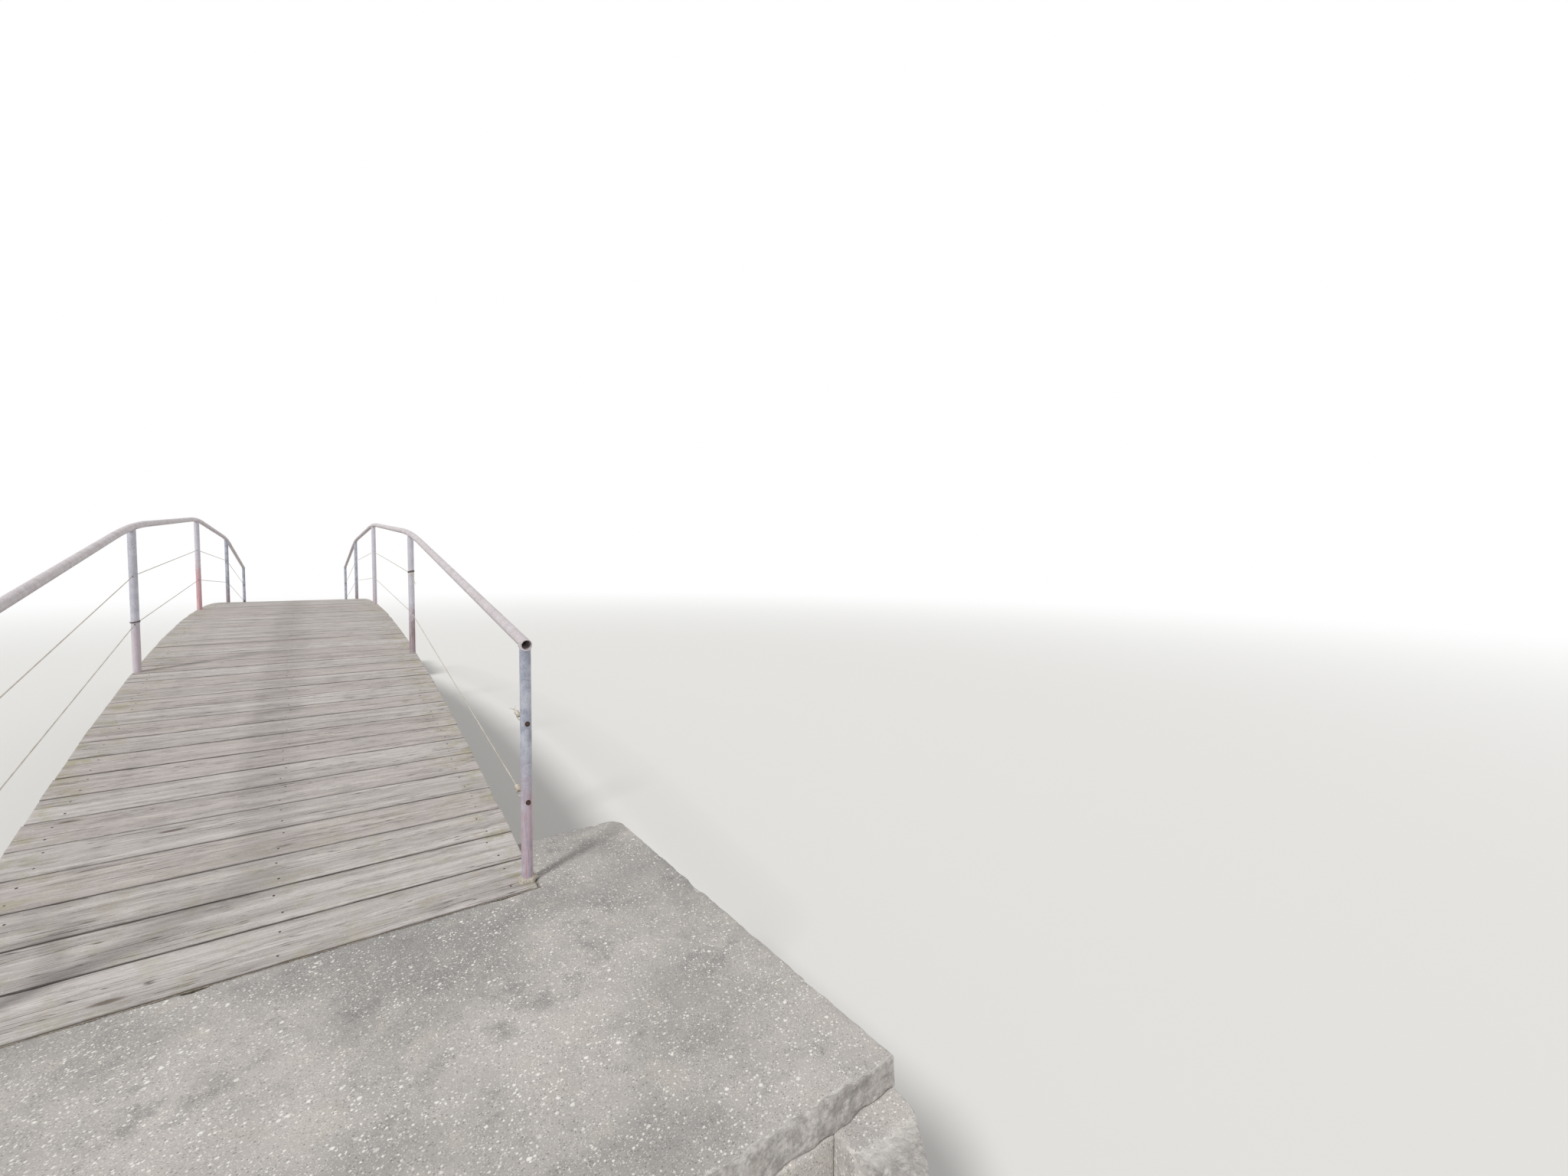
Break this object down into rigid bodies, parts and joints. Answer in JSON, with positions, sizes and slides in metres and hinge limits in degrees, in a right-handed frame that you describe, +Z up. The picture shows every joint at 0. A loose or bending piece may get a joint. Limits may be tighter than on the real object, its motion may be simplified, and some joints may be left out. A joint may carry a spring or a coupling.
{
  "type": "wooden footbridge",
  "caption": "Arched timber footbridge with bent pipe handrails on posts, wire infill held by chains and eye bolts, and concrete abutments with landings.",
  "frame": {"origin": "on the floor under the middle of the span, midway between the railings", "axes": "+X across the bridge to the right seen from the near end, +Y along the bridge to the far end, +Z up"},
  "size_m": [2.98, 18.6, 3.4438],
  "materials": {
    "concrete": "weathered cast concrete with fine exposed aggregate",
    "shoe_steel": "dull galvanised steel with rust at the edges",
    "stringer_timber": "treated laminated timber, weathered brown",
    "deck_timber": "bare weathered grey planks with mossy edges",
    "pipe": "worn grey-blue paint, faded red near the posts' feet",
    "wire": "dull weathered steel wire",
    "rusty_steel": "dark rusty steel"
  },
  "bodies": {
    "root": {"near_seat_wall": "concrete", "near_left_wall": "concrete", "near_right_wall": "concrete", "near_back_wall": "concrete", "near_landing": "concrete", "far_seat_wall": "concrete", "far_left_wall": "concrete", "far_right_wall": "concrete", "far_back_wall": "concrete", "far_landing": "concrete", "near_bearing_shoes": "shoe_steel", "far_bearing_shoes": "shoe_steel", "left_stringer": "stringer_timber", "middle_stringer": "stringer_timber", "right_stringer": "stringer_timber", "blocking_1": "stringer_timber", "blocking_2": "stringer_timber", "blocking_3": "stringer_timber", "blocking_4": "stringer_timber", "blocking_5": "stringer_timber", "deck_planks_1": "deck_timber", "deck_planks_2": "deck_timber", "deck_planks_3": "deck_timber", "deck_planks_4": "deck_timber", "left_post_1": "pipe", "left_post_2": "pipe", "left_post_3": "pipe", "left_post_4": "pipe", "left_post_5": "pipe", "right_post_1": "pipe", "right_post_2": "pipe", "right_post_3": "pipe", "right_post_4": "pipe", "right_post_5": "pipe", "left_rail": "pipe", "right_rail": "pipe", "left_lower_wire": "wire", "left_upper_wire": "wire", "right_lower_wire": "wire", "right_upper_wire": "wire", "near_left_wire_fittings": "rusty_steel", "near_right_wire_fittings": "rusty_steel", "far_left_wire_fittings": "rusty_steel", "far_right_wire_fittings": "rusty_steel"}
  },
  "joints": []
}
